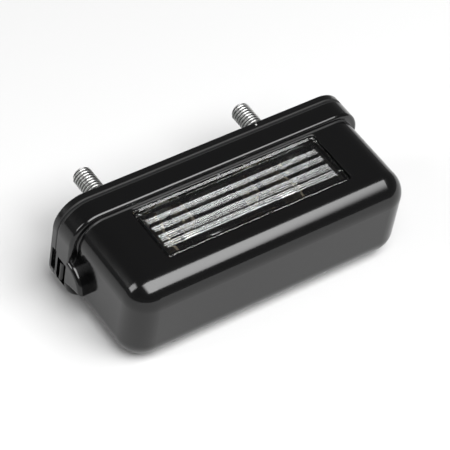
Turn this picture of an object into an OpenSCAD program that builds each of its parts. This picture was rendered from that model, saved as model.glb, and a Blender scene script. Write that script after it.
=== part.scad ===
// Number plate lamp: black clip-fitted hood with a clear fluted window, on a base with two threaded studs.
// X runs along the lamp, the mounting plane is y = 0 and the studs point along +Y.
// The hood reaches forward along -Y, and the window faces +Z.

/* [Base] */
// Length of the base plate
base_len = 80; // [78:0.5:92]
// Height of the base plate
base_h = 27.2; // [26.6:0.2:32]
// Corner radius of the base plate's outline
base_corner_r = 7.6; // [6.8:0.1:9]
// Thickness of the base plate's rim and floor
rim_t = 2.1; // [1.8:0.1:3]
// Rounding of the rim's edges
rim_edge_r = 0.35; // [0.1:0.05:0.5]
// Wall of the spigot that locates the hood
spigot_wall = 1.4; // [1:0.1:1.8]
// Gap all round between the spigot and the hood
spigot_gap = 0.2; // [0.1:0.05:0.3]
// Thickness of the rubber seal between the spigot and the hood
seal_t = 0.8; // [0.5:0.1:1]

/* [Hood] */
// Depth of the closed lamp from the mounting plane to the hood's front face
lamp_depth = 32.2; // [31.4:0.2:40]
// Depth of the hood's collar
collar_depth = 5.7; // [5.4:0.1:7]
// Rounding of the collar's front edge
collar_edge_r = 0.9; // [0.3:0.1:0.9]
// How far the collar stands out beyond each end of the body
step_end = 1.85; // [1.65:0.05:2.6]
// How far the collar stands out above and below the body
step_side = 1.35; // [1.3:0.05:1.7]
// Fillet between the collar's front face and the body
step_fillet = 0.35; // [0.2:0.05:0.4]
// Radius of the body's four long corners
body_corner_r = 6.4; // [6.2:0.1:7]
// Rounding of the body's front edges
body_front_r = 6.2; // [5:0.1:6.2]
// Wall thickness of the hood
wall = 1.8; // [1.4:0.1:2]

/* [Window] */
// Distance from each end of the body to the window
window_end = 12.75; // [12:0.25:16]
// Distance from the collar to the window's back edge
window_gap = 0.9; // [0.6:0.1:1.5]
// Distance from the window's front edge to the hood's front face
window_front = 8.1; // [7.9:0.1:10]
// Corner radius of the window opening
window_corner_r = 0.9; // [0.6:0.1:1.5]
// Rounding of the window's outer edge
window_edge_r = 0.3; // [0.1:0.05:0.5]

/* [Lens] */
// Width of the flange that laps under the hood's wall
lens_lap = 1.6; // [1:0.1:1.7]
// Thickness of the flange
lens_flange_t = 1.2; // [0.8:0.1:1.6]
// Gap all round between the lens and the window opening
lens_gap = 0.15; // [0.05:0.05:0.25]
// Thickness of the lens's frame inside the window opening
lens_frame_t = 1; // [0.7:0.1:1.2]
// Rounding of the lens's outer edge
lens_edge_r = 0.2; // [0.1:0.05:0.4]
// How far the clear pane lies below the hood's top
pane_recess = 0.4; // [0.2:0.05:0.6]
// Thickness of the pane
pane_t = 0.9; // [0.8:0.1:1.1]
// Width of the bevelled lip along the pane's back edge
lip_w = 0.8; // [0.5:0.1:1]
// Height of the lip above the pane
lip_h = 0.35; // [0.1:0.05:0.4]
// Distance from each end of the window to the flutes
flute_end = 1.9; // [1.7:0.1:6]
// Number of flutes on the inside of the pane
flute_count = 4; // [2:1:4]
// Share of the flutes' spacing that a flute takes at its root
flute_share = 0.64; // [0.5:0.02:0.9]
// Slope of a flute's two faces
flute_deg = 40; // [25:1:50]
// Distance from the window's back edge to the first flute's middle
flute_back = 4.2; // [3:0.1:4.6]
// Distance from the last flute's middle to the window's front edge
flute_front = 3.7; // [3:0.1:4.6]
// Diameter of the round moulding marks near the pane's corners
mark_d = 1.9; // [1:0.1:2]
// Depth of the moulding marks
mark_depth = 0.12; // [0.05:0.01:0.2]
// Distance from the window's long edges to the moulding marks' middle
mark_side = 2.55; // [1.5:0.05:4]

/* [End clips] */
// Radius of the pull lug at each end of the hood
lug_r = 6.4; // [5:0.1:6.6]
// How far the lug stands out beyond the base's end
lug_proud = 0.8; // [0.4:0.1:1.6]
// Rounding of the lug's outer edge
lug_edge_r = 1; // [0.3:0.1:1.2]
// Height of the lug's middle below the lamp's middle
lug_drop = 4.2; // [3:0.1:5]
// How far the lug runs on below its middle, at the collar
lug_under = 1; // [0.5:0.1:1.5]
// Rise of the lug's underside towards its front
lug_rise_deg = 14; // [5:1:20]
// Height of the clip window in the collar's end
clip_h = 7.2; // [6:0.1:7.6]
// Height of the clip window's middle below the lamp's middle
clip_drop = 4.5; // [3.8:0.1:5]
// Thickness of the latch nose, which ends level with the spigot's front
nose_t = 1.5; // [1.2:0.1:1.7]
// How far the latch nose stands out of the spigot into the clip window
nose_reach = 1.8; // [1.2:0.1:1.9]
// Play above the latch nose
nose_above = 1.3; // [0.6:0.1:1.6]
// Play below the latch nose
nose_below = 0.3; // [0.2:0.05:0.5]
// Play behind the latch nose
nose_behind = 0.4; // [0.2:0.05:0.5]
// Play in front of the latch nose
nose_play = 1.6; // [0.8:0.1:1.7]
// Height of the pry slot between base and collar
pry_h = 6.6; // [5:0.2:9]
// Height of the pry slot's middle below the lamp's middle
pry_drop = 3.2; // [2:0.1:4.5]
// Depth of the pry slot from the end
pry_depth = 0.9; // [0.5:0.1:1.1]
// How far the pry slot cuts into the rim
pry_rim = 1.2; // [0.5:0.1:1.3]
// How far the pry slot cuts into the collar
pry_collar = 0.5; // [0.3:0.05:0.6]

/* [Studs] */
// Distance between the two studs
stud_spacing = 45; // [44:0.5:50]
// Thread diameter of the studs
stud_d = 5; // [4:0.5:6]
// Diameter of the studs' plain shank inside the base, as thick as the blank that the thread is rolled on
shank_d = 4.5; // [3.8:0.1:4.6]
// Length of a stud under its head
stud_len = 20; // [16:1:30]
// Chamfer of the stud's tip
stud_tip = 0.7; // [0.3:0.1:1]
// Width across the flats of the stud's hexagon head
head_af = 8; // [7:0.5:8.5]
// Thickness of the stud's head
head_t = 3.5; // [2.5:0.1:4]
// Height of the boss under the stud's head
boss_h = 1.5; // [1:0.1:2]
// Depth of the pocket that keeps the head from turning
pocket_h = 1.6; // [1:0.1:2]
// Wall of the boss round the head
boss_wall = 1; // [0.8:0.1:1.2]
// Thickness of the rubber sealing washer
washer_t = 1; // [0.8:0.1:1.4]

/* [Bulb] */
// Overall length of the tubular bulb
bulb_len = 36; // [34:0.5:38]
// Diameter of the bulb's glass
bulb_d = 11; // [8:0.5:11]
// Diameter of the bulb's end caps
cap_d = 8.5; // [7:0.1:8.5]
// Distance from the bulb's axis to the hood's front face
bulb_front = 10.7; // [10:0.1:12]
// Thickness of the bulb's glass
glass_t = 0.6; // [0.4:0.1:0.8]
// Length of each end cap's straight skirt
cap_skirt = 4; // [3:0.1:5]
// Length of the cone at each end cap's tip
cone_len = 2.2; // [1.8:0.1:2.6]
// Length of the shoulder where the glass narrows to the caps
shoulder = 2.4; // [1.5:0.1:3]
// Length of the filament coil
coil_len = 9; // [6:0.5:11]
// Diameter of the filament coil
coil_d = 0.9; // [0.6:0.1:1.4]

/* [Contacts] */
// Width of the contact springs
contact_w = 7; // [6:0.5:8]
// Thickness of the contact springs
contact_t = 0.6; // [0.4:0.1:0.8]
// Diameter of the hole that takes the bulb's tip
contact_hole_d = 3.4; // [3:0.1:3.8]
// How far a contact runs past the bulb's axis
contact_tail = 4.5; // [3:0.1:4.8]
// Distance from the lamp's middle to each rivet
rivet_at = 12.4; // [12:0.1:12.6]
// Diameter of the rivet's shank
rivet_d = 3; // [2.5:0.1:3.2]
// Diameter of the rivet's heads
rivet_head_d = 5; // [4.4:0.1:5.4]
// Thickness of the rivet's heads
rivet_head_t = 0.9; // [0.6:0.1:1.2]
// Width of the terminal blades
blade_w = 6.3; // [4.8:0.1:6.3]
// Thickness of the terminal blades
blade_t = 0.8; // [0.5:0.1:0.8]
// Length of the terminal blades in front of their foot
blade_len = 8; // [6:0.5:9]
// Distance from a blade's tip to the middle of its hole
blade_hole_at = 3; // [2:0.1:4]
// Gap between the contacts and the pieces beside them
contact_gap = 0.4; // [0.3:0.05:0.5]
// Depth over which a contact spring steps outwards to the bulb
contact_step = 4; // [3:0.5:6]
// Flare at a contact spring's tip
contact_flare = 1; // [0.5:0.1:1.5]

/* [Cable inlet] */
// Bore of the rubber grommet
inlet_d = 6; // [4:0.5:6.5]
// Diameter of the hole for the grommet's neck
neck_d = 9; // [8.6:0.1:9.4]
// Diameter of the grommet's flanges
flange_d = 12; // [11:0.2:12.6]
// Thickness of the grommet's outer flange
flange_out_t = 1.1; // [0.8:0.1:1.3]
// Thickness of the grommet's inner flange
flange_in_t = 1.5; // [1:0.1:2]
// Height of the collar on the floor round the inlet
inlet_rise = 1.2; // [0.8:0.1:2]

/* [Hidden] */
$fn = 96;
black = [0.05, 0.05, 0.052];
rubber_black = [0.09, 0.09, 0.09];
zinc = [0.72, 0.73, 0.74];
brass = [0.78, 0.62, 0.32];
clear = [0.85, 0.9, 0.92, 0.35];
// Overrun of a cutting tool past the face that it cuts
over = 1;
// Slack round rivets, studs and other pieces that sit in holes
hole_gap = 0.05;

collar_front = rim_t + collar_depth;
collar_inner_len = base_len - 2 * wall;
collar_inner_h = base_h - 2 * wall;
collar_inner_r = base_corner_r - wall;
step_back = collar_front - wall;
spigot_len = collar_inner_len - 2 * spigot_gap;
spigot_h = collar_inner_h - 2 * spigot_gap;
spigot_r = collar_inner_r - spigot_gap;
spigot_front = step_back - seal_t;
body_len = base_len - 2 * step_end;
body_h = base_h - 2 * step_side;
body_top = body_h / 2;
body_inner_top = body_top - wall;

window_len = body_len - 2 * window_end;
window_back = collar_front + window_gap;
window_w = lamp_depth - window_front - window_back;
window_mid = window_back + window_w / 2;
pane_len = window_len - 2 * lens_gap;
pane_w = window_w - 2 * lens_gap;
pane_top = body_top - pane_recess;
pane_bottom = pane_top - pane_t;
flange_bottom = body_inner_top - lens_flange_t;
flute_len = window_len - 2 * flute_end;
flute_pitch = (window_w - flute_back - flute_front) / (flute_count - 1);
flute_half = flute_pitch * flute_share / 2;
flute_depth = flute_half * tan(flute_deg);
first_flute = window_back + flute_back;
// Distance from each end of the window to the moulding marks' middle
mark_end = 1.15;

base_end = base_len / 2;
body_end = body_len / 2;
lug_end = base_end + lug_proud;
nose_front = spigot_front;
clip_back = nose_front - nose_t - nose_behind;
clip_front = nose_front + nose_play;
nose_h = clip_h - nose_above - nose_below;
nose_tip_r = nose_t / 2;
spigot_end = spigot_len / 2;

boss_front = rim_t + boss_h;
washer_front = boss_front + washer_t;
head_front = washer_front + head_t;
head_corner_r = head_af / 2 / cos(30);
boss_r = head_corner_r + hole_gap + boss_wall;
stud_tip_y = stud_len - washer_front;

bulb_out = lamp_depth - bulb_front;
cap_r = cap_d / 2;
cap_tip = bulb_len / 2;
// Wall of the bulb's caps
cap_t = 0.4;
// Diameter of the wires that carry the filament
lead_d = 0.5;
// Radius and length of the nib at a cap's tip
tip_r = 1.1;
tip_len = 0.4;
cone_start = cap_tip - tip_len - cone_len;
cap_back = cone_start - cap_skirt;
// Depth of solid metal and solder behind the cap's cone
cap_floor = 0.8;
glass_half = cone_start - cap_floor;
glass_straight = cap_back - shoulder;
neck_r = cap_r - cap_t - hole_gap;
// Play between the rim of a contact's hole and the cap's cone
seat_gap = 0.15;
contact_x = cone_start + (cap_r - contact_hole_d / 2 + seat_gap) * cone_len / (cap_r - tip_r);

// How far a rivet's rear head lies below the mounting plane
rivet_sink = 0.1;
foot_front = rim_t + contact_t;
blade_foot_front = foot_front + blade_t;
foot_out = stud_spacing / 2 - boss_r - contact_gap;
contact_front = bulb_out + contact_tail;
elbow_back = head_front + contact_gap;
elbow_front = elbow_back + contact_step;
// Hole in a blade that a connector's pip drops into
blade_hole_d = 1.6;
blade_x = rivet_at - rivet_head_d / 2 - contact_gap - blade_t;

// How far the collar round the cable inlet is wider than the grommet's flange
inlet_wall = 1;

// Places the children, drawn upright with +Y up, at a distance in front of the mounting plane.
module ahead(distance) {
    translate([0, -distance, 0]) rotate([90, 0, 0]) children();
}

// Draws the children and their mirror image at the other end of the lamp.
module at_both_ends() {
    children();
    mirror([1, 0, 0]) children();
}

// Half section of a block's edge: r wide and depth high, with its two outer corners rounded.
module edge_section(r, depth, front_r, back_r) {
    difference() {
        square([r, depth]);
        if (front_r > 0) {
            translate([r - front_r, depth - front_r]) difference() {
                square(front_r + over);
                circle(r = front_r);
            }
        }
        if (back_r > 0) {
            translate([r - back_r, back_r]) mirror([0, 1, 0]) difference() {
                square(back_r + over);
                circle(r = back_r);
            }
        }
    }
}

// Block whose sides and corners follow the children: a half section drawn outwards from a corner's centre.
module swept_block(length, height, depth, corner_r) {
    flat_l = length - 2 * corner_r;
    flat_h = height - 2 * corner_r;
    translate([-flat_l / 2, -flat_h / 2, 0]) cube([flat_l, flat_h, depth]);
    for (side = [0, 1]) {
        mirror([side, 0, 0]) translate([flat_l / 2, flat_h / 2, 0]) rotate([90, 0, 0])
            linear_extrude(flat_h) children();
        mirror([0, side, 0]) translate([-flat_l / 2, flat_h / 2, 0]) rotate([90, 0, 90])
            linear_extrude(flat_l) children();
        for (end = [0, 1]) {
            mirror([end, 0, 0]) mirror([0, side, 0]) translate([flat_l / 2, flat_h / 2, 0])
                rotate_extrude(angle = 90) children();
        }
    }
}

// Block with round corners in its outline and rounded edges at its front and back.
module rounded_block(length, height, depth, corner_r, front_r = 0, back_r = 0) {
    swept_block(length, height, depth, corner_r)
        edge_section(corner_r, depth, front_r, back_r);
}

// Cutter for a round-cornered opening whose upper edge, at the given depth, is rounded.
module opening_block(length, height, depth, corner_r, edge_r) {
    swept_block(length, height, depth + over, corner_r) difference() {
        square([corner_r + edge_r, depth + over]);
        translate([corner_r, -over]) square([edge_r + over, depth - edge_r + over]);
        translate([corner_r + edge_r, depth - edge_r]) circle(r = edge_r);
    }
}

// Box between two distances from the mounting plane, at the left end of the lamp.
module end_box(x_out, x_in, z_mid, height, back, front) {
    translate([-x_out, -front, z_mid - height / 2]) cube([x_out - x_in, front - back, height]);
}

module pry_slot() {
    end_box(base_end + over, base_end - pry_depth, -pry_drop, pry_h,
        rim_t - pry_rim, rim_t + pry_collar);
}

module latch_nose() {
    z_low = -clip_drop - clip_h / 2 + nose_below;
    tip_x = spigot_end + nose_reach - nose_tip_r;
    translate([0, 0, z_low]) linear_extrude(nose_h) {
        translate([-tip_x, -nose_front]) square([tip_x - spigot_end + spigot_wall / 2, nose_t]);
        translate([-tip_x, -nose_front + nose_tip_r]) circle(r = nose_tip_r);
    }
}

module stud_boss(x) {
    translate([x, 0, 0]) ahead(rim_t / 2)
        cylinder(r = boss_r, h = boss_front + washer_t + pocket_h - rim_t / 2);
}

module stud_hole(x) {
    translate([x, 0, 0]) {
        ahead(-over) cylinder(d = stud_d + 2 * hole_gap, h = boss_front + over + over);
        ahead(boss_front) cylinder(r = head_corner_r + hole_gap, h = washer_t);
        ahead(washer_front) cylinder(r = head_corner_r + hole_gap, h = pocket_h + over, $fn = 6);
    }
}

module rivet_hole(x) {
    translate([x, 0, 0]) {
        ahead(-over) cylinder(d = rivet_d + 2 * hole_gap, h = rim_t + 2 * over);
        ahead(-over) cylinder(d = rivet_head_d + 4 * hole_gap, h = rivet_head_t + over);
    }
}

module base_plate() {
    color(black) difference() {
        union() {
            ahead(0) rounded_block(base_len, base_h, rim_t, base_corner_r, rim_edge_r, rim_edge_r);
            difference() {
                ahead(rim_t / 2) rounded_block(spigot_len, spigot_h, spigot_front - rim_t / 2, spigot_r);
                ahead(rim_t) rounded_block(spigot_len - 2 * spigot_wall, spigot_h - 2 * spigot_wall,
                    spigot_front, spigot_r - spigot_wall);
            }
            at_both_ends() latch_nose();
            for (side = [-1, 1]) stud_boss(side * stud_spacing / 2);
            ahead(rim_t / 2) cylinder(d = flange_d + inlet_wall, h = rim_t / 2 + inlet_rise);
        }
        for (side = [-1, 1]) {
            stud_hole(side * stud_spacing / 2);
            rivet_hole(side * rivet_at);
        }
        at_both_ends() pry_slot();
        ahead(-over) cylinder(d = neck_d, h = rim_t + inlet_rise + 2 * over);
        ahead(-over) cylinder(d = flange_d + 4 * hole_gap, h = flange_out_t + over);
    }
}

// Part of a round disc at the left end, flat against the collar and cut off along its underside.
module pull_lug() {
    lug_t = lug_end - body_end + wall / 2;
    side = 4 * lug_r;
    intersection() {
        translate([-lug_end, -collar_front, -lug_drop]) rotate(180, [1, 0, 1])
            rotate_extrude(angle = 180) edge_section(lug_r, lug_t, 0, lug_edge_r);
        translate([-lug_end, -collar_front, -lug_drop - lug_under]) rotate([-lug_rise_deg, 0, 0])
            translate([0, 0, side / 2]) rotate(180, [1, 0, 1])
                rounded_block(side, side, lug_t, lug_r, 0, lug_edge_r);
    }
}

// Slab round the body's root whose edge is hollowed, so that the collar runs into the body.
module root_fillet() {
    r = body_corner_r + step_fillet;
    swept_block(body_len + 2 * step_fillet, body_h + 2 * step_fillet, step_fillet, r) difference() {
        square([r, step_fillet]);
        translate([r, step_fillet]) circle(r = step_fillet);
    }
}

module hood() {
    color(black) difference() {
        union() {
            ahead(rim_t) rounded_block(base_len, base_h, collar_depth, base_corner_r,
                collar_edge_r, rim_edge_r);
            ahead(step_back) rounded_block(body_len, body_h, lamp_depth - step_back,
                body_corner_r, body_front_r);
            ahead(collar_front) root_fillet();
            at_both_ends() pull_lug();
        }
        ahead(rim_t - over) rounded_block(collar_inner_len, collar_inner_h,
            step_back - rim_t + over, collar_inner_r);
        ahead(rim_t) rounded_block(body_len - 2 * wall, body_h - 2 * wall,
            lamp_depth - wall - rim_t, body_corner_r - wall, body_front_r - wall);
        translate([0, -window_mid, body_inner_top - over])
            opening_block(window_len, window_w, wall + over, window_corner_r, window_edge_r);
        at_both_ends() {
            pry_slot();
            end_box(base_end + over, collar_inner_len / 2 - over / 2, -clip_drop, clip_h,
                clip_back, clip_front);
        }
    }
}

module hood_seal() {
    color(rubber_black) difference() {
        ahead(spigot_front) rounded_block(spigot_len, spigot_h, step_back - spigot_front, spigot_r);
        ahead(spigot_front - over) rounded_block(spigot_len - 2 * spigot_wall,
            spigot_h - 2 * spigot_wall, step_back - spigot_front + 2 * over, spigot_r - spigot_wall);
    }
}

// Section of a bar along the lamp, drawn with X forward to back and Y up, swept over the flutes' length.
module lens_bar(distance, height) {
    translate([-flute_len / 2, -distance, height]) rotate([90, 0, 90])
        linear_extrude(flute_len) children();
}

// Three-sided bar on the pane's inner face that turns the bulb's light.
module flute(distance) {
    root = pane_t / 2;
    lens_bar(distance, pane_bottom)
        polygon([[-flute_half, 0], [0, -flute_depth], [flute_half, 0], [flute_half, root],
            [-flute_half, root]]);
}

// Bevelled lip along the pane's back edge.
module lens_lip() {
    root = -pane_t / 2;
    lens_bar(window_back + lens_gap + lip_w, pane_top)
        polygon([[0, root], [lip_w - lens_edge_r, root], [lip_w - lens_edge_r, lip_h], [0, 0]]);
}

module lens() {
    frame_h = pane_top - flange_bottom;
    pocket_len = pane_len - 2 * lens_frame_t;
    pocket_w = pane_w - 2 * lens_frame_t;
    color(clear) difference() {
        union() {
            difference() {
                translate([0, -window_mid, flange_bottom]) {
                    rounded_block(window_len + 2 * lens_lap, window_w + 2 * lens_lap,
                        lens_flange_t, window_corner_r + lens_lap);
                    rounded_block(pane_len, pane_w, frame_h, window_corner_r - lens_gap,
                        lens_edge_r);
                }
                translate([-pocket_len / 2, -window_mid - pocket_w / 2, flange_bottom - over])
                    cube([pocket_len, pocket_w, pane_bottom - flange_bottom + over]);
            }
            for (i = [0 : flute_count - 1]) flute(first_flute + i * flute_pitch);
            lens_lip();
        }
        for (end = [-1, 1], side = [-1, 1]) {
            translate([end * (window_len / 2 - mark_end), -window_mid + side * (window_w / 2 - mark_side),
                pane_top - mark_depth])
                cylinder(d = mark_d, h = mark_depth + over);
        }
    }
}

module stud(side) {
    color(zinc) translate([side * stud_spacing / 2, 0, 0]) {
        ahead(washer_front) cylinder(r = head_corner_r, h = head_t, $fn = 6);
        ahead(0) cylinder(d = shank_d, h = washer_front);
        ahead(-stud_tip_y + stud_tip) cylinder(d = stud_d, h = stud_tip_y - stud_tip);
        ahead(-stud_tip_y) cylinder(d1 = stud_d - 2 * stud_tip, d2 = stud_d, h = stud_tip);
    }
}

module stud_washer(side) {
    color(rubber_black) translate([side * stud_spacing / 2, 0, 0]) difference() {
        ahead(boss_front) cylinder(r = head_af / 2, h = washer_t);
        ahead(boss_front - over) cylinder(d = stud_d + 2 * hole_gap, h = washer_t + 2 * over);
    }
}

// Outline, seen along Z, of the strip that the right contact is bent from.
module contact_strip() {
    t = contact_t;
    polygon([
        [blade_x, -rim_t],
        [foot_out, -rim_t],
        [foot_out, -elbow_back],
        [contact_x + t, -elbow_front],
        [contact_x + t, -contact_front + 2 * contact_flare],
        [contact_x + t + contact_flare, -contact_front],
        [contact_x + contact_flare, -contact_front],
        [contact_x, -contact_front + 2 * contact_flare],
        [contact_x, -elbow_front],
        [foot_out - t, -elbow_back],
        [foot_out - t, -foot_front],
        [blade_x, -foot_front]
    ]);
}

module contact() {
    difference() {
        translate([0, 0, -contact_w / 2]) linear_extrude(contact_w) contact_strip();
        translate([rivet_at, 0, 0]) ahead(rim_t - over)
            cylinder(d = rivet_d + 2 * hole_gap, h = contact_t + 2 * over);
        translate([contact_x - over, -bulb_out, 0]) rotate([0, 90, 0])
            cylinder(d = contact_hole_d, h = contact_t + 2 * over);
    }
}

// Blade for a push-on connector, bent up from a foot that shares the rivet with the contact.
module terminal() {
    foot_end = foot_out - contact_t - contact_gap;
    difference() {
        translate([0, 0, -blade_w / 2]) linear_extrude(blade_w) {
            translate([blade_x, -blade_foot_front]) square([foot_end - blade_x, blade_t]);
            translate([blade_x, -blade_foot_front - blade_len]) square([blade_t, blade_len + blade_t]);
        }
        translate([rivet_at, 0, 0]) ahead(foot_front - over)
            cylinder(d = rivet_d + 2 * hole_gap, h = blade_t + 2 * over);
        translate([blade_x - over, -blade_foot_front - blade_len + blade_hole_at, 0]) rotate([0, 90, 0])
            cylinder(d = blade_hole_d, h = blade_t + 2 * over);
    }
}

module rivet() {
    translate([rivet_at, 0, 0]) {
        ahead(rivet_sink) cylinder(d = rivet_d, h = blade_foot_front - rivet_sink);
        ahead(rivet_sink) cylinder(d = rivet_head_d, h = rivet_head_t - rivet_sink);
        ahead(blade_foot_front) cylinder(d = rivet_head_d, h = rivet_head_t);
    }
}

// Turned outline about the bulb's axis, from a half profile of radius against length.
module on_bulb_axis() {
    translate([0, -bulb_out, 0]) rotate([0, 90, 0]) rotate_extrude() children();
}

module bulb_glass() {
    r = bulb_d / 2;
    color(clear) on_bulb_axis() difference() {
        union() {
            translate([0, -glass_straight]) square([r, 2 * glass_straight]);
            polygon([[0, -cap_back], [neck_r, -cap_back], [r, -glass_straight],
                [r, glass_straight], [neck_r, cap_back], [0, cap_back]]);
            translate([0, -glass_half]) square([neck_r, 2 * glass_half]);
        }
        translate([-over, -glass_straight]) square([r - glass_t + over, 2 * glass_straight]);
        polygon([[-over, -cap_back], [neck_r - glass_t, -cap_back],
            [r - glass_t, -glass_straight], [r - glass_t, glass_straight],
            [neck_r - glass_t, cap_back], [-over, cap_back]]);
        translate([-over, -glass_half - over])
            square([neck_r - glass_t + over, 2 * glass_half + 2 * over]);
    }
}

module bulb_cap() {
    on_bulb_axis() difference() {
        polygon([[0, cap_back], [cap_r, cap_back], [cap_r, cone_start], [tip_r, cap_tip - tip_len],
            [tip_r - tip_len, cap_tip], [0, cap_tip]]);
        translate([-over, cap_back - over])
            square([cap_r - cap_t + over, glass_half - cap_back + over]);
    }
}

module bulb_filament() {
    color(zinc) translate([0, -bulb_out, 0]) rotate([0, 90, 0]) {
        translate([0, 0, -coil_len / 2]) cylinder(d = coil_d, h = coil_len);
        translate([0, 0, -glass_half]) cylinder(d = lead_d, h = 2 * glass_half);
    }
}

module cable_grommet() {
    web_front = rim_t + inlet_rise;
    color(rubber_black) difference() {
        union() {
            ahead(0) cylinder(d = flange_d, h = flange_out_t);
            ahead(0) cylinder(d = neck_d - 2 * hole_gap, h = web_front + flange_in_t);
            ahead(web_front) cylinder(d = flange_d - inlet_wall, h = flange_in_t);
        }
        ahead(-over) cylinder(d = inlet_d, h = web_front + flange_in_t + 2 * over);
    }
}

base_plate();
hood();
hood_seal();
lens();
stud(-1);  // stud_left
stud(1);  // stud_right
stud_washer(-1);  // stud_washer_left
stud_washer(1);  // stud_washer_right
color(brass) mirror([1, 0, 0]) contact();  // contact_left
color(brass) contact();  // contact_right
color(brass) mirror([1, 0, 0]) terminal();  // terminal_left
color(brass) terminal();  // terminal_right
color(zinc) mirror([1, 0, 0]) rivet();  // rivet_left
color(zinc) rivet();  // rivet_right
bulb_glass();
color(zinc) mirror([1, 0, 0]) bulb_cap();  // bulb_cap_left
color(zinc) bulb_cap();  // bulb_cap_right
bulb_filament();
cable_grommet();
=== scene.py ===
"""Looks of a number plate lamp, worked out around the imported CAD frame.

All sizes are in metres in the CAD's own axes: +X along the lamp, +Y out of the mounting face along
the studs, and +Z out of the clear window. The CAD nodes keep their shapes and get procedural finishes.
The studs and the filament are drawn anew, because the CAD has plain stand-ins for thread and coil. The
lens is drawn anew too, because its flutes are bundles of ribs finer than the CAD's.
"""

import bmesh
import bpy
import numpy as np
from mathutils import Matrix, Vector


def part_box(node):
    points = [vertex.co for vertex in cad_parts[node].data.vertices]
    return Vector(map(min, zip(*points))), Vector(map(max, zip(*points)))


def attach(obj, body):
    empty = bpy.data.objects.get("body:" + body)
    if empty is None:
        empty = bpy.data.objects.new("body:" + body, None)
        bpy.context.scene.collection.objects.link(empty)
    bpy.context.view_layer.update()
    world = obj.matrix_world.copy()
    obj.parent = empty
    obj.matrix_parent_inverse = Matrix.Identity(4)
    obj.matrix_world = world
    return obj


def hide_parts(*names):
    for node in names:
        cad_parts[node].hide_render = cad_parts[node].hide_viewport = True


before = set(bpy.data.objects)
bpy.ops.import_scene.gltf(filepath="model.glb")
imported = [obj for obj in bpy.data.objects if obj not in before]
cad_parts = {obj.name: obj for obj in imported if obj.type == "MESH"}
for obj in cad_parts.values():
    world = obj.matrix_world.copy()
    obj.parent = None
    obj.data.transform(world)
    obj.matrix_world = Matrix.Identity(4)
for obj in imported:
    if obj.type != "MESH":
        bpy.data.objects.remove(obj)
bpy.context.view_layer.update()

MM = 0.001

# ---------------------------------------------------------------- studs
STUD_SPACING = 45 * MM
STUD_RADIUS = 2.5 * MM
SHANK_RADIUS = 2.25 * MM
SHANK_START = -0.4 * MM
THREAD_PITCH = 0.8 * MM
THREAD_DEPTH = 0.46 * MM
THREAD_CREST = 0.14
THREAD_ROOT = 0.16
RUN_OUT_LOW, RUN_OUT_HIGH = 0.2 * MM, 0.9 * MM
TIP_CHAMFER = 0.75 * MM
TIP_RADIUS = 1.75 * MM
HEAD_ACROSS_FLATS = 8 * MM
HEAD_CHAMFER = 0.35 * MM
HEAD_CHAMFER_REACH = 0.05 * MM
HEAD_FACE_SHARE = 0.97
STUD_COLUMNS = 72
ROWS_PER_TURN = 14

# ---------------------------------------------------------------- filament
COIL_TURNS = 16
COIL_RADIUS = 0.42 * MM
COIL_LENGTH = 9 * MM
COIL_FADE = 0.5 * MM
FILAMENT_WIRE = 0.07 * MM
LEAD_WIRE = 0.2 * MM
LEAD_FULL = 0.9 * MM
FILAMENT_ROWS = 1600
WIRE_COLUMNS = 8

# ---------------------------------------------------------------- lens
LENS_MIDDLE = -16.4 * MM
FLANGE_HALF = (27 * MM, 9.3 * MM)
FLANGE_CORNER = 2.5 * MM
FLANGE_LOW, FLANGE_TOP = 9.25 * MM, 10.45 * MM
PANE_HALF = (25.25 * MM, 7.55 * MM)
PANE_CORNER = 0.75 * MM
PANE_LOW, PANE_TOP = 10.95 * MM, 11.85 * MM
PANE_EDGE, END_EDGE = 0.2 * MM, 0.35 * MM
EDGE_BEND = 0.3
POCKET_HALF = (24.25 * MM, 6.55 * MM)
LIP_WIDTH, LIP_HEIGHT = 0.5 * MM, 0.3 * MM
MARK_PLACE = (24.25 * MM, 5.15 * MM)
MARK_RADIUS, MARK_DEPTH = 0.95 * MM, 0.12 * MM
MARK_RIM_IN, MARK_RIM_OUT = 0.08 * MM, 0.04 * MM
MARK_SPAN, MARK_COLUMNS = 1.1 * MM, 23
# Each flute is a bundle of fine ribs, one line of the list. Each rib is given by its tip's place along y
# and its front face's run.
RIBS = np.array(
    [
        [-20.94, 0.18], [-20.345, 0.25], [-19.765, 0.25],
        [-18.95, 0.10], [-18.415, 0.19], [-17.815, 0.25], [-17.345, 0.25],
        [-15.84, 0.15], [-15.285, 0.25], [-14.715, 0.25],
        [-13.28, 0.10], [-12.765, 0.25], [-12.235, 0.25],
    ]
) * MM
RIB_TIP = 0.03 * MM
RIB_BACK_SLOPE, RIB_FRONT_SLOPE = np.radians([51.5, 39.5])
RIB_HALF_LENGTH = 23.5 * MM
RIB_END_RUN = 0.3 * MM
# Rows of the mesh along x, from each end inwards: round the flange's corner, over the pane's end, over
# the pocket's end, and along the first of the ribs. The round marks lie over the last three.
CORNER_ROWS, PANE_ROWS, POCKET_ROWS, RIB_ROWS = 7, 16, 9, 4
MERGE_DISTANCE = 0.001 * MM
CREASE_ANGLE = np.radians(20)


# ================================================================ meshes
def grid_faces(rows, columns):
    """Quads of a grid that closes on itself along its columns: corner (i, j) is point
    i * columns + j."""
    i = np.arange(rows - 1)[:, None]
    j = np.arange(columns)[None, :]
    k = (j + 1) % columns
    here, ahead = i * columns, (i + 1) * columns
    return np.stack([here + j, here + k, ahead + k, ahead + j], -1).reshape(-1, 4)


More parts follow.
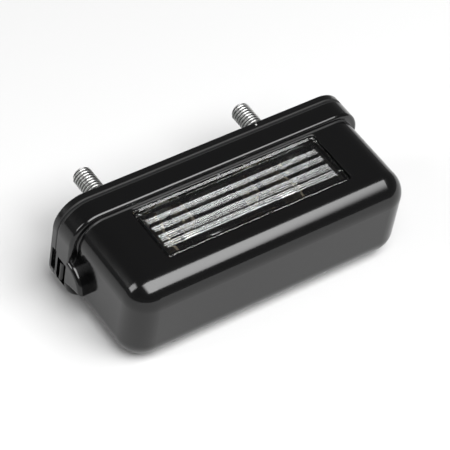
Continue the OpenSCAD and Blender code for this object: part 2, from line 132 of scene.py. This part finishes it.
def closed_tube(name, points):
    """A smooth mesh from a grid of points, rows x columns x 3: the columns close into rings, and a fan
    round one pole point closes the first and the last ring. Rows run so that normals point outwards."""
    rows, columns = points.shape[:2]
    vertices = np.concatenate([points.reshape(-1, 3), points[:1].mean(1), points[-1:].mean(1)])
    j = np.arange(columns)
    k = (j + 1) % columns
    first, last = rows * columns, rows * columns + 1
    start = (rows - 1) * columns
    faces = grid_faces(rows, columns).tolist()
    faces += np.stack([k, j, np.full(columns, first)], -1).tolist()
    faces += np.stack([start + j, start + k, np.full(columns, last)], -1).tolist()
    mesh = bpy.data.meshes.new(name)
    mesh.from_pydata(vertices, [], faces)
    mesh.validate()
    mesh.polygons.foreach_set("use_smooth", np.full(len(mesh.polygons), True))
    piece = bpy.data.objects.new(name, mesh)
    bpy.context.scene.collection.objects.link(piece)
    return piece


def smoothstep(low, high, value):
    """3 t^2 - 2 t^3, where t is the value's share of the way from low to high, held between 0 and 1."""
    t = np.clip((value - low) / (high - low), 0, 1)
    return t * t * (3 - 2 * t)


def threaded_stud(name, x_middle, y_tip, y_head, y_end):
    """A stud as one surface, radius as a function of height y and angle a round its axis.

    Thread: with s the fractional part of y / pitch - a / full turn, the radius is the outer one less
    the thread depth times a trapezium of s: 0 over the crest, 1 over the root, straight flanks between.
    Near y = 0 a smoothstep of y takes the thread over into the shank.
    Tip: the radius is never more than a cone from the tip's radius. Shank: a plain radius below y = 0.
    Head: a hexagon's radius, half its flats over the cosine of the angle from the nearest flat's middle.
    """
    angle = np.arange(STUD_COLUMNS) * 2 * np.pi / STUD_COLUMNS
    y_thread = np.linspace(y_tip, 0, int(y_tip / THREAD_PITCH * ROWS_PER_TURN))
    turn = (y_thread[:, None] / THREAD_PITCH - angle[None, :] / (2 * np.pi)) % 1
    away = np.abs(turn - 0.5) * 2
    flank = np.clip((away - THREAD_CREST) / (1 - THREAD_CREST - THREAD_ROOT), 0, 1)
    run_out = smoothstep(RUN_OUT_LOW, RUN_OUT_HIGH, y_thread)[:, None]
    thread = STUD_RADIUS - THREAD_DEPTH * flank * run_out - (1 - run_out) * (STUD_RADIUS - SHANK_RADIUS)
    cone = TIP_RADIUS + (y_tip - y_thread) * (STUD_RADIUS - TIP_RADIUS) / TIP_CHAMFER
    thread = np.minimum(thread, cone[:, None])
    flat_turn = (angle + np.pi / 6) % (np.pi / 3) - np.pi / 6
    hexagon = HEAD_ACROSS_FLATS / 2 / np.cos(flat_turn)
    chamfered = np.minimum(hexagon, HEAD_ACROSS_FLATS / 2 + HEAD_CHAMFER_REACH)
    shank = np.full(STUD_COLUMNS, SHANK_RADIUS)
    y_low = np.array([SHANK_START, y_head, y_head, y_end + HEAD_CHAMFER, y_end, y_end])
    low = np.stack([shank, shank, hexagon, hexagon, chamfered, chamfered * HEAD_FACE_SHARE])
    heights = np.concatenate([y_thread, y_low])[:, None]
    radii = np.concatenate([thread, low])
    x, y = x_middle + radii * np.cos(angle), np.broadcast_to(heights, radii.shape)
    return closed_tube(name, np.stack([x, y, radii * np.sin(angle)], -1))


def wire_along(name, path, radial, radius):
    """A round wire: a circle carried along a path of points, with a radius for each. At each point the
    circle stands across the path's direction, measured from the radial direction made square to it."""
    ahead = np.gradient(path, axis=0)
    ahead /= np.linalg.norm(ahead, axis=1, keepdims=True)
    out = radial - (radial * ahead).sum(1, keepdims=True) * ahead
    out /= np.linalg.norm(out, axis=1, keepdims=True)
    across = np.cross(ahead, out)
    angle = np.arange(WIRE_COLUMNS) * 2 * np.pi / WIRE_COLUMNS
    ring = out[:, None] * np.cos(angle)[:, None] + across[:, None] * np.sin(angle)[:, None]
    return closed_tube(name, path[:, None] + ring * radius[:, None, None])


def filament(name, low, high):
    """The filament: along x, a lead from each cap to a coil in the middle. The coil is a helix, whose
    distance from the axis is full between its ends and falls smoothly to nothing at the leads."""
    x = np.linspace(low[0], high[0], FILAMENT_ROWS)
    zero = np.zeros(FILAMENT_ROWS)
    axis_y, axis_z = (low[1] + high[1]) / 2, (low[2] + high[2]) / 2
    half = COIL_LENGTH / 2
    turn = 2 * np.pi * COIL_TURNS * np.clip(x, -half, half) / COIL_LENGTH
    reach = COIL_RADIUS * (1 - smoothstep(half, half + COIL_FADE, np.abs(x)))
    radial = np.stack([zero, np.cos(turn), np.sin(turn)], -1)
    path = np.stack([x, zero + axis_y, zero + axis_z], -1) + radial * reach[:, None]
    lead = smoothstep(half + COIL_FADE, half + LEAD_FULL, np.abs(x))
    return wire_along(name, path, radial, FILAMENT_WIRE + (LEAD_WIRE - FILAMENT_WIRE) * lead)


def merge_doubles(mesh):
    """Merges the points that meet where a section changes, and turns all faces outwards."""
    shape = bmesh.new()
    shape.from_mesh(mesh)
    bmesh.ops.remove_doubles(shape, verts=shape.verts, dist=MERGE_DISTANCE)
    bmesh.ops.recalc_face_normals(shape, faces=shape.faces)
    shape.to_mesh(mesh)
    shape.free()


def rounded_half(x, half, corner):
    """Half the width at x of a rounded rectangle: full width less the corner, plus the height of the
    corner's circle at that x."""
    into = np.clip(np.abs(x) - (half[0] - corner), 0, corner)
    return half[1] - corner + np.sqrt(corner**2 - into**2)


def rib_points():
    """The ribs' section, front to back: distances back from the lens's middle, and depths below the
    pane. A rib is a flat tip between a front face and a steeper back face: depth = the front face's run
    times the tangent of its slope, and the back face's run = that depth over the tangent of its own."""
    tip, run = RIBS.T
    full = run * np.tan(RIB_FRONT_SLOPE)
    tip_front, tip_back = tip - RIB_TIP / 2, tip + RIB_TIP / 2
    back_root = tip_back + full / np.tan(RIB_BACK_SLOPE)
    across = np.stack([tip_front - run, tip_front, tip_back, back_root], -1)
    depth = np.stack([full * 0, full, full, full * 0], -1)
    return across.ravel() - LENS_MIDDLE, depth.ravel()


def fluted_lens(name):
    """The lens as a closed section carried along x. Level 0 of the section is the flange alone, level 1
    adds the pane with its rounded edge, level 2 the pocket under it, and level 3 the ribs and the lip.
    At a step two rows share their x. The four round marks are dips of the pane's top: the depth times
    one less a smoothstep of the distance from the mark's middle."""
    corner_start = FLANGE_HALF[0] - FLANGE_CORNER
    corner_end = np.arcsin((PANE_HALF[0] - corner_start) / FLANGE_CORNER)
    stretches = [
        corner_start + FLANGE_CORNER * np.sin(np.linspace(np.pi / 2, corner_end, CORNER_ROWS)),
        np.linspace(PANE_HALF[0], POCKET_HALF[0], PANE_ROWS),
        np.linspace(POCKET_HALF[0], RIB_HALF_LENGTH, POCKET_ROWS),
        np.linspace(RIB_HALF_LENGTH, RIB_HALF_LENGTH - RIB_END_RUN, RIB_ROWS),
    ]
    half = np.concatenate(stretches)
    level = np.repeat(np.arange(len(stretches)), [len(stretch) for stretch in stretches])
    x = np.concatenate([-half, half[::-1]])[:, None]
    level = np.concatenate([level, level[::-1]])[:, None]
    pane, pocket, ribs = level >= 1, level >= 2, level >= 3

    flange_edge = rounded_half(x, FLANGE_HALF, FLANGE_CORNER)
    pane_edge = rounded_half(x, PANE_HALF, PANE_CORNER)
    over_end = np.clip(np.abs(x) - (PANE_HALF[0] - END_EDGE), 0, END_EDGE)
    top = PANE_TOP - END_EDGE + np.sqrt(END_EDGE**2 - over_end**2)
    shoulder = np.minimum(top, PANE_TOP - PANE_EDGE)
    bend = np.minimum(top, PANE_TOP - EDGE_BEND * PANE_EDGE)
    ceiling = FLANGE_LOW + (PANE_LOW - FLANGE_LOW) * pocket
    low, ledge = top * 0 + FLANGE_LOW, top * 0 + FLANGE_TOP
    wall = top * 0 + POCKET_HALF[1]
    rib_across, rib_depth = rib_points()
    lip_foot = np.minimum(pane_edge - PANE_EDGE, PANE_HALF[1] - PANE_EDGE - LIP_WIDTH)
    dip_across = np.linspace(MARK_SPAN, -MARK_SPAN, MARK_COLUMNS)[None, :]
    dip_reach = np.hypot(np.abs(x) - MARK_PLACE[0], dip_across)
    dip = MARK_DEPTH * (1 - smoothstep(MARK_RADIUS - MARK_RIM_IN, MARK_RADIUS + MARK_RIM_OUT, dip_reach))
    back_dip, front_dip = MARK_PLACE[1] + dip_across + x * 0, -MARK_PLACE[1] + dip_across + x * 0

    under_across = [-flange_edge, -wall, -wall, rib_across + x * 0, wall, wall, flange_edge]
    under_height = [low, low, ceiling, ceiling - rib_depth * ribs, ceiling, low, low]
    edge_across = [pane_edge - EDGE_BEND * PANE_EDGE, pane_edge - PANE_EDGE]
    back_across = [flange_edge, pane_edge, pane_edge] + edge_across
    back_height = [ledge, ledge, shoulder, bend, top]
    top_across = [pane_edge - PANE_EDGE, lip_foot, back_dip, front_dip]
    top_height = [top + LIP_HEIGHT * ribs, top, top - dip, top - dip]
    front_across = [-across for across in back_across[::-1]]
    across = np.concatenate(under_across + back_across + top_across + front_across, 1)
    above = np.concatenate(back_height + top_height + back_height[::-1], 1)
    above = FLANGE_TOP + (above - FLANGE_TOP) * pane
    height = np.concatenate(under_height + [above], 1)
    points = np.stack([np.broadcast_to(x, across.shape), LENS_MIDDLE + across, height], -1)
    piece = closed_tube(name, points)
    merge_doubles(piece.data)
    piece.data.set_sharp_from_angle(angle=CREASE_ANGLE)
    return piece


# ================================================================ node helpers
def place(tree, kind, inputs=None, **settings):
    """Adds a shader node, sets its properties and its unlinked inputs, and links those given as
    sockets."""
    node = tree.nodes.new(kind)
    for key, value in settings.items():
        setattr(node, key, value)
    for key, value in (inputs or {}).items():
        if isinstance(value, bpy.types.NodeSocket):
            tree.links.new(value, node.inputs[key])
        else:
            node.inputs[key].default_value = value
    return node


def arithmetic(tree, operation, first, second=0.0, clamp=False):
    """One Math node."""
    node = place(tree, "ShaderNodeMath", {0: first, 1: second}, operation=operation, use_clamp=clamp)
    return node.outputs[0]


def ramp(tree, value, low, high, out_low=0.0, out_high=1.0, **settings):
    """A Map Range node: low..high of the value becomes out_low..out_high."""
    inputs = {"Value": value, "From Min": low, "From Max": high, "To Min": out_low, "To Max": out_high}
    return place(tree, "ShaderNodeMapRange", inputs, **settings).outputs["Result"]


def blend_colour(tree, share, first, second):
    """A Mix node of two colours. Its sockets 6 and 7 are the colours, and its output 2 is the blend."""
    inputs = {"Factor": share, 6: first, 7: second}
    return place(tree, "ShaderNodeMix", inputs, data_type="RGBA").outputs[2]


def noise(tree, where, scale, detail, roughness=0.5):
    """A Noise texture's value."""
    inputs = {"Vector": where, "Scale": scale, "Detail": detail, "Roughness": roughness}
    return place(tree, "ShaderNodeTexNoise", inputs).outputs["Fac"]


def new_group(name, inputs, outputs):
    """A shader node group whose sockets are all plain values: inputs {name: default}, outputs by name."""
    group = bpy.data.node_groups.new(name, "ShaderNodeTree")
    sockets = group.interface
    for key, value in inputs.items():
        sockets.new_socket(name=key, in_out="INPUT", socket_type="NodeSocketFloat").default_value = value
    for key in outputs:
        sockets.new_socket(name=key, in_out="OUTPUT", socket_type="NodeSocketFloat")
    entry = group.nodes.new("NodeGroupInput")
    leave = group.nodes.new("NodeGroupOutput")
    return group, entry.outputs, leave.inputs


def use_group(tree, group, **values):
    """Places a node group with its own values, and returns its outputs."""
    inputs = {key.replace("_", " "): value for key, value in values.items()}
    return place(tree, "ShaderNodeGroup", inputs, node_tree=group).outputs


def object_place(tree):
    """Object coordinates, in metres."""
    return place(tree, "ShaderNodeTexCoord").outputs["Object"]


def split(tree, vector):
    """A vector's X, Y and Z."""
    return place(tree, "ShaderNodeSeparateXYZ", {0: vector}).outputs


# ================================================================ shared effects
def make_mould_grain():
    """Fine grain of a moulding tool's face with a slow ripple under it, as a height, and a slow mottle."""
    group, given, gives = new_group(
        "mould_grain",
        {"Grain scale": 2600.0, "Grain": 0.3, "Ripple scale": 60.0, "Ripple": 1.0},
        ["Height", "Mottle"],
    )
    where = object_place(group)
    grain = noise(group, where, given["Grain scale"], 3.0)
    ripple = noise(group, where, given["Ripple scale"], 1.0)
    grain_part = arithmetic(group, "MULTIPLY", grain, given["Grain"])
    ripple_part = arithmetic(group, "MULTIPLY", ripple, given["Ripple"])
    group.links.new(arithmetic(group, "ADD", grain_part, ripple_part), gives["Height"])
    group.links.new(noise(group, where, given["Ripple scale"], 4.0, 0.65), gives["Mottle"])
    return group


def make_dust():
    """Sparse pale specks: cells of a Voronoi texture whose random number is low, near the cell's point."""
    group, given, gives = new_group(
        "dust_specks",
        {"Cell scale": 700.0, "Share": 0.02, "Size": 0.25},
        ["Mask"],
    )
    inputs = {"Vector": object_place(group), "Scale": given["Cell scale"]}
    cells = place(group, "ShaderNodeTexVoronoi", inputs).outputs
    pick = place(group, "ShaderNodeSeparateColor", {0: cells["Color"]}).outputs[0]
    chosen = arithmetic(group, "LESS_THAN", pick, given["Share"])
    near = arithmetic(group, "LESS_THAN", cells["Distance"], given["Size"])
    group.links.new(arithmetic(group, "MULTIPLY", chosen, near), gives["Mask"])
    return group


def make_y_band():
    """A mask of a slice of the lamp: 1 between two distances along y and above a height z, 0 elsewhere."""
    group, given, gives = new_group(
        "y_band",
        {"Front": 0.0, "Back": 0.0, "Floor": -1.0},
        ["Mask"],
    )
    where = split(group, object_place(group))
    behind = arithmetic(group, "GREATER_THAN", where["Y"], given["Front"])
    ahead = arithmetic(group, "LESS_THAN", where["Y"], given["Back"])
    above = arithmetic(group, "GREATER_THAN", where["Z"], given["Floor"])
    slice_of_y = arithmetic(group, "MULTIPLY", behind, ahead)
    group.links.new(arithmetic(group, "MULTIPLY", slice_of_y, above), gives["Mask"])
    return group


MOULD_GRAIN = make_mould_grain()
DUST = make_dust()
Y_BAND = make_y_band()

# ================================================================ materials
# Where the mottle starts to count and where it counts in full.
MOTTLE_LOW, MOTTLE_HIGH = 0.3, 0.7
# Black plastic: how much paler its mottle gets and how far that shows, the shares of its roughness that
# it drifts between, its specks, and how much rougher it is along a seam.
PALER, PALER_SHARE = 1.4, 0.35
PLASTIC_IOR = 1.48
SMOOTHEST, ROUGHEST = 0.9, 1.15
DUST_COLOUR, DUST_ROUGHNESS = (0.35, 0.35, 0.34, 1.0), 0.5
SEAM_DULLNESS = 0.4
# Each seam's band: its front and its back along y, and the height that it starts at.
HOOD_SEAMS = [(-8.3 * MM, -7.81 * MM, 11 * MM), (-2.9 * MM, -2.0 * MM, 9 * MM)]
BASE_SEAMS = [(-2.2 * MM, -1.6 * MM, 9 * MM)]
# Clear plastic: its two tints, and how much smoother its smoothest places are.
CLEAR_LIGHT, CLEAR_DEEP = (0.95, 0.96, 0.96, 1.0), (0.9, 0.92, 0.92, 1.0)
POLISHED = 0.6
# Painted shade in the thread roots: its grey, and the shares of the thread's depth between which it comes
# in.
ROOT_PAINTED_SHADE = (0.14, 0.14, 0.14, 1)
ROOT_DEEP, ROOT_SHALLOW = 0.7, 0.15


def new_material(name, **constants):
    """A material with one Principled BSDF, and the constants set on the shader's own sockets."""
    material = bpy.data.materials.new(name)
    material.use_nodes = True
    tree = material.node_tree
    tree.nodes.clear()
    shader = place(tree, "ShaderNodeBsdfPrincipled")
    for key, value in constants.items():
        shader.inputs[key.replace("_", " ")].default_value = value
    leave = place(tree, "ShaderNodeOutputMaterial")
    tree.links.new(shader.outputs[0], leave.inputs["Surface"])
    return material, tree, shader


def bump_into(tree, shader, height, strength, distance):
    """Feeds a height to the shader's normal through a Bump node."""
    inputs = {"Height": height, "Strength": strength, "Distance": distance}
    tree.links.new(place(tree, "ShaderNodeBump", inputs).outputs[0], shader.inputs["Normal"])


def mottled(tree, effect, low, high):
    """A value that drifts between two with the shared effect's mottle."""
    return ramp(tree, effect["Mottle"], MOTTLE_LOW, MOTTLE_HIGH, low, high)


def moulded_plastic(name, colour, roughness, grain, ripple, dust, seams):
    """Glossy moulded plastic: grain and ripple in its surface, roughness that drifts a little, dust
    specks, and duller bands along the seams."""
    material, tree, shader = new_material(name, IOR=PLASTIC_IOR)
    effect = use_group(tree, MOULD_GRAIN, Grain=grain, Ripple=ripple)
    specks = use_group(tree, DUST, Share=dust)["Mask"]
    paler = tuple(c * PALER for c in colour[:3]) + (1.0,)
    base = blend_colour(tree, mottled(tree, effect, 0.0, PALER_SHARE), colour, paler)
    coloured = blend_colour(tree, specks, base, DUST_COLOUR)
    tree.links.new(coloured, shader.inputs["Base Color"])
    rough = mottled(tree, effect, roughness * SMOOTHEST, roughness * ROUGHEST)
    dusty = arithmetic(tree, "MULTIPLY", specks, DUST_ROUGHNESS)
    rough = arithmetic(tree, "ADD", rough, dusty, clamp=True)
    for front, back, floor in seams:
        band = use_group(tree, Y_BAND, Front=front, Back=back, Floor=floor)["Mask"]
        rough = arithmetic(tree, "ADD", rough, arithmetic(tree, "MULTIPLY", band, SEAM_DULLNESS))
    tree.links.new(rough, shader.inputs["Roughness"])
    bump_into(tree, shader, effect["Height"], strength=0.12, distance=0.00002)
    return material


def clear_plastic(name, ior, roughness):
    """Clear moulded plastic or glass: a faint ripple and a slight drift in how polished it is."""
    material, tree, shader = new_material(name, IOR=ior)
    shader.inputs["Transmission Weight"].default_value = 1.0
    effect = use_group(tree, MOULD_GRAIN, Grain=0.05, Ripple=0.25)
    tint = blend_colour(tree, effect["Mottle"], CLEAR_LIGHT, CLEAR_DEEP)
    tree.links.new(tint, shader.inputs["Base Color"])
    rough = mottled(tree, effect, roughness * POLISHED, roughness)
    tree.links.new(rough, shader.inputs["Roughness"])
    bump_into(tree, shader, effect["Height"], strength=0.03, distance=0.00001)
    return material


def plated_metal(name, light, dark, rough_low, rough_high, spangle_scale):
    """Plated or drawn metal: two tones and two roughnesses that drift over fine spangle, with a fine
    grain."""
    material, tree, shader = new_material(name, Metallic=1.0)
    spangle = noise(tree, object_place(tree), spangle_scale, 4.0, 0.6)
    tone = blend_colour(tree, ramp(tree, spangle, 0.35, 0.65), light, dark)
    tree.links.new(tone, shader.inputs["Base Color"])
    tree.links.new(ramp(tree, spangle, 0.3, 0.7, rough_low, rough_high), shader.inputs["Roughness"])
    effect = use_group(tree, MOULD_GRAIN, Grain=0.6, Ripple=0.4)
    bump_into(tree, shader, effect["Height"], strength=0.15, distance=0.00001)
    return material


def paint_root_shade(material):
    """Paints shade into a plated stud's thread roots, darkening them: the colour falls with the distance
    from the stud's axis, the hypotenuse of z and of |x| less half the studs' spacing."""
    tree = material.node_tree
    shader = next(n for n in tree.nodes if n.type == "BSDF_PRINCIPLED")
    plate = shader.inputs["Base Color"].links[0].from_socket
    where = split(tree, object_place(tree))
    aside = arithmetic(tree, "SUBTRACT", arithmetic(tree, "ABSOLUTE", where["X"]), STUD_SPACING / 2)
    squares = [arithmetic(tree, "MULTIPLY", side, side) for side in (aside, where["Z"])]
    radius = arithmetic(tree, "SQRT", arithmetic(tree, "ADD", *squares))
    deep, shallow = (STUD_RADIUS - share * THREAD_DEPTH for share in (ROOT_DEEP, ROOT_SHALLOW))
    # Painted shade: 1 deep in the thread's roots, 0 towards its crests.
    root = ramp(tree, radius, deep, shallow, 1.0, 0.0)
    tree.links.new(blend_colour(tree, root, plate, ROOT_PAINTED_SHADE), shader.inputs["Base Color"])


def soft_rubber(name, colour, bloom):
    """Matt rubber with a faint pale bloom."""
    material, tree, shader = new_material(name, IOR=1.5)
    effect = use_group(tree, MOULD_GRAIN, Grain=1.0, Ripple=0.5)
    tree.links.new(blend_colour(tree, effect["Mottle"], colour, bloom), shader.inputs["Base Color"])
    tree.links.new(mottled(tree, effect, 0.55, 0.75), shader.inputs["Roughness"])
    bump_into(tree, shader, effect["Height"], strength=0.4, distance=0.00004)
    return material


HOOD_BLACK = moulded_plastic(
    "hood_black", (0.002, 0.002, 0.0021, 1.0),
    roughness=0.13, grain=0.25, ripple=0.6, dust=0.004, seams=HOOD_SEAMS,
)
BASE_BLACK = moulded_plastic(
    "base_black", (0.0028, 0.0028, 0.0029, 1.0),
    roughness=0.2, grain=0.5, ripple=0.8, dust=0.003, seams=BASE_SEAMS,
)
LENS_CLEAR = clear_plastic("lens_clear", ior=1.49, roughness=0.05)
BULB_GLASS = clear_plastic("bulb_glass", ior=1.5, roughness=0.02)
SEAL_RUBBER = soft_rubber("seal_rubber", (0.012, 0.012, 0.012, 1.0), (0.03, 0.03, 0.029, 1.0))
STUD_ZINC = plated_metal(
    "stud_zinc", (0.80, 0.80, 0.78, 1), (0.66, 0.66, 0.65, 1),
    rough_low=0.26, rough_high=0.36, spangle_scale=1400.0,
)
# Painted shade in the studs' thread roots, where the grooves lie in shade.
paint_root_shade(STUD_ZINC)
CONTACT_BRASS = plated_metal(
    "contact_brass", (0.30, 0.25, 0.17, 1), (0.2, 0.165, 0.11, 1),
    rough_low=0.4, rough_high=0.55, spangle_scale=500.0,
)
CAP_NICKEL = plated_metal(
    "cap_nickel", (0.78, 0.76, 0.72, 1), (0.66, 0.64, 0.60, 1),
    rough_low=0.15, rough_high=0.3, spangle_scale=700.0,
)
TUNGSTEN = plated_metal(
    "tungsten", (0.40, 0.40, 0.41, 1), (0.22, 0.22, 0.23, 1),
    rough_low=0.35, rough_high=0.5, spangle_scale=3000.0,
)

FINISHES = {
    "hood": HOOD_BLACK,
    "base_plate": BASE_BLACK,
    "lens": LENS_CLEAR,
    "bulb_glass": BULB_GLASS,
    "hood_seal": SEAL_RUBBER,
    "cable_grommet": SEAL_RUBBER,
    "stud_washer_left": SEAL_RUBBER,
    "stud_washer_right": SEAL_RUBBER,
    "stud_left": STUD_ZINC,
    "stud_right": STUD_ZINC,
    "rivet_left": STUD_ZINC,
    "rivet_right": STUD_ZINC,
    "contact_left": CONTACT_BRASS,
    "contact_right": CONTACT_BRASS,
    "terminal_left": CONTACT_BRASS,
    "terminal_right": CONTACT_BRASS,
    "bulb_cap_left": CAP_NICKEL,
    "bulb_cap_right": CAP_NICKEL,
    "bulb_filament": TUNGSTEN,
}


def finish_with(piece, material):
    """Gives a piece its one finish."""
    if not piece.material_slots:
        piece.data.materials.append(material)
    for held in piece.material_slots:
        held.link = "OBJECT"
        held.material = material


for node_name, finish in FINISHES.items():
    finish_with(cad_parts[node_name], finish)

# ================================================================ pieces drawn anew
for side, sign in (("left", -1), ("right", 1)):
    low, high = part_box("stud_" + side)
    washer_low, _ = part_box("stud_washer_" + side)
    x_middle = sign * STUD_SPACING / 2
    stud = threaded_stud("threaded_stud_" + side, x_middle, high[1], washer_low[1], low[1])
    finish_with(stud, STUD_ZINC)
    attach(stud, "root")
    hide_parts("stud_" + side)

lens_piece = fluted_lens("fluted_lens")
finish_with(lens_piece, LENS_CLEAR)
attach(lens_piece, "root")
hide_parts("lens")

low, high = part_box("bulb_filament")
coil = filament("filament_coil", np.array(low), np.array(high))
finish_with(coil, TUNGSTEN)
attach(coil, "root")
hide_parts("bulb_filament")

# ================================================================ floor, light and camera
# The lamp lies on the front edges of its collar and its hood, so the floor leans a little.
FLOOR_LEAN = np.radians(4.04)
FLOOR_HALF = 3.0
FLOOR_CLEARANCE = 0.02 * MM
FLOOR_COLOUR, FLOOR_ROUGHNESS = (0.54, 0.54, 0.54, 1.0), 0.8
# The collar's bottom edge: its place along y and z, and its radius.
COLLAR_EDGE = (-6.9 * MM, -12.7 * MM, 0.9 * MM)
# The world's strength falls from the horizon to this height of a direction, and stays there.
SKY_HEIGHT = 0.4
SKY_AT_HORIZON, SKY_ABOVE = 0.22, 0.13
# The camera that the photograph was taken with: where it looks from, its turn and its focal length.
CAMERA_AZIMUTH, CAMERA_ELEVATION, CAMERA_ROLL = np.radians([-42.145, 47.735, 10.56])
CAMERA_DISTANCE = 550 * MM
CAMERA_SLIDE = (-1.182 * MM, -0.534 * MM)
FOCAL_PIXELS, PHOTO_PIXELS, SENSOR_WIDTH = 2384.675, 450, 36
CLIP_START, CLIP_END = 0.01, 20
AIM = np.array([0, -14 * MM, 0])


def placed_by(right, up, back, origin):
    """The matrix of an object with these three axes at this place."""
    pose = np.eye(4)
    pose[:3, 0], pose[:3, 1], pose[:3, 2], pose[:3, 3] = right, up, back, origin
    return Matrix(pose.tolist())


def make_floor():
    """A flat square just below the collar's bottom edge, turned about X by the lean. It is clear when
    seen from below."""
    up = np.array([0, np.sin(FLOOR_LEAN), np.cos(FLOOR_LEAN)])
    along = np.array([0, np.cos(FLOOR_LEAN), -np.sin(FLOOR_LEAN)])
    side = np.array([1.0, 0, 0])
    edge_y, edge_z, edge_radius = COLLAR_EDGE
    middle = np.array([0, edge_y, edge_z]) - up * (edge_radius + FLOOR_CLEARANCE)
    signs = ((-1, -1), (1, -1), (1, 1), (-1, 1))
    corners = [middle + FLOOR_HALF * (a * side + b * along) for a, b in signs]
    mesh = bpy.data.meshes.new("floor")
    mesh.from_pydata(corners, [], [(0, 1, 2, 3)])
    floor = bpy.data.objects.new("floor", mesh)
    bpy.context.scene.collection.objects.link(floor)
    material, tree, shader = new_material(
        "floor_white", Base_Color=FLOOR_COLOUR, Roughness=FLOOR_ROUGHNESS
    )
    shader.inputs["Specular IOR Level"].default_value = 0.0
    behind = place(tree, "ShaderNodeNewGeometry").outputs["Backfacing"]
    clear = place(tree, "ShaderNodeBsdfTransparent")
    mix = place(tree, "ShaderNodeMixShader", {0: behind, 1: shader.outputs[0], 2: clear.outputs[0]})
    leave = next(n for n in tree.nodes if n.type == "OUTPUT_MATERIAL")
    tree.links.new(mix.outputs[0], leave.inputs["Surface"])
    floor.data.materials.append(material)


def soften_edges(data, edge):
    """Fades a rectangular light smoothly to nothing over a share of its size at its left and right."""
    data.use_nodes = True
    tree = data.node_tree
    tree.nodes.clear()
    share = split(tree, place(tree, "ShaderNodeNewGeometry").outputs["Parametric"])["X"]
    inwards = arithmetic(tree, "MINIMUM", share, arithmetic(tree, "SUBTRACT", 1.0, share))
    fade = ramp(tree, inwards, 0.0, edge, interpolation_type="SMOOTHSTEP")
    glow = place(tree, "ShaderNodeEmission", {"Strength": fade})
    leave = place(tree, "ShaderNodeOutputLight")
    tree.links.new(glow.outputs[0], leave.inputs["Surface"])


def soft_light(name, towards, distance, size, radiance, level=False, edge=0.0):
    """A rectangular area light of a given radiance. It faces the lamp, or straight down where level."""
    towards = np.array(towards, float)
    towards /= np.linalg.norm(towards)
    back, right = np.array([0, 0, 1.0]), np.array([1.0, 0, 0])
    if not level:
        right = np.cross(back, towards)
        back = towards
    right /= np.linalg.norm(right)
    data = bpy.data.lights.new(name, "AREA")
    data.shape = "RECTANGLE"
    data.size, data.size_y = size
    data.energy = radiance * np.pi * size[0] * size[1]
    if edge:
        soften_edges(data, edge)
    lamp = bpy.data.objects.new(name, data)
    lamp.matrix_world = placed_by(right, np.cross(back, right), back, towards * distance)
    lamp.visible_camera = False
    bpy.context.scene.collection.objects.link(lamp)


def make_world():
    """A white world whose strength depends on a direction's height alone."""
    world = bpy.data.worlds.new("studio")
    bpy.context.scene.world = world
    world.use_nodes = True
    tree = world.node_tree
    tree.nodes.clear()
    height = split(tree, place(tree, "ShaderNodeTexCoord").outputs["Generated"])["Z"]
    strength = ramp(tree, height, 0.0, SKY_HEIGHT, SKY_AT_HORIZON, SKY_ABOVE)
    inputs = {"Color": (1, 1, 1, 1), "Strength": strength}
    background = place(tree, "ShaderNodeBackground", inputs)
    leave = place(tree, "ShaderNodeOutputWorld")
    tree.links.new(background.outputs[0], leave.inputs["Surface"])


def make_camera():
    """Places the camera: back = (sin az cos el, -cos az cos el, sin el), turned about that by the
    roll."""
    az, el, roll = CAMERA_AZIMUTH, CAMERA_ELEVATION, CAMERA_ROLL
    back = np.array([np.sin(az) * np.cos(el), -np.cos(az) * np.cos(el), np.sin(el)])
    right = np.array([np.cos(az), np.sin(az), 0])
    up = np.cross(back, right)
    turned_right = np.cos(roll) * right + np.sin(roll) * up
    turned_up = -np.sin(roll) * right + np.cos(roll) * up
    slide = turned_right * CAMERA_SLIDE[0] + turned_up * CAMERA_SLIDE[1]
    data = bpy.data.cameras.new("camera")
    data.lens = FOCAL_PIXELS * SENSOR_WIDTH / PHOTO_PIXELS
    data.sensor_width, data.sensor_fit = SENSOR_WIDTH, "HORIZONTAL"
    data.clip_start, data.clip_end = CLIP_START, CLIP_END
    camera = bpy.data.objects.new("camera", data)
    camera.matrix_world = placed_by(turned_right, turned_up, back, AIM + slide + back * CAMERA_DISTANCE)
    bpy.context.scene.collection.objects.link(camera)
    bpy.context.scene.camera = camera


make_floor()
soft_light(
    "key_softbox", towards=(0.12, -0.53, 0.9), distance=1.05, size=(1.3, 0.92), radiance=9.4,
    level=True, edge=0.2,
)
soft_light("side_softbox", towards=(-0.82, 0.27, 0.51), distance=1.0, size=(0.32, 0.5), radiance=7.0)
make_world()
make_camera()
bpy.context.scene.view_settings.view_transform = "Standard"
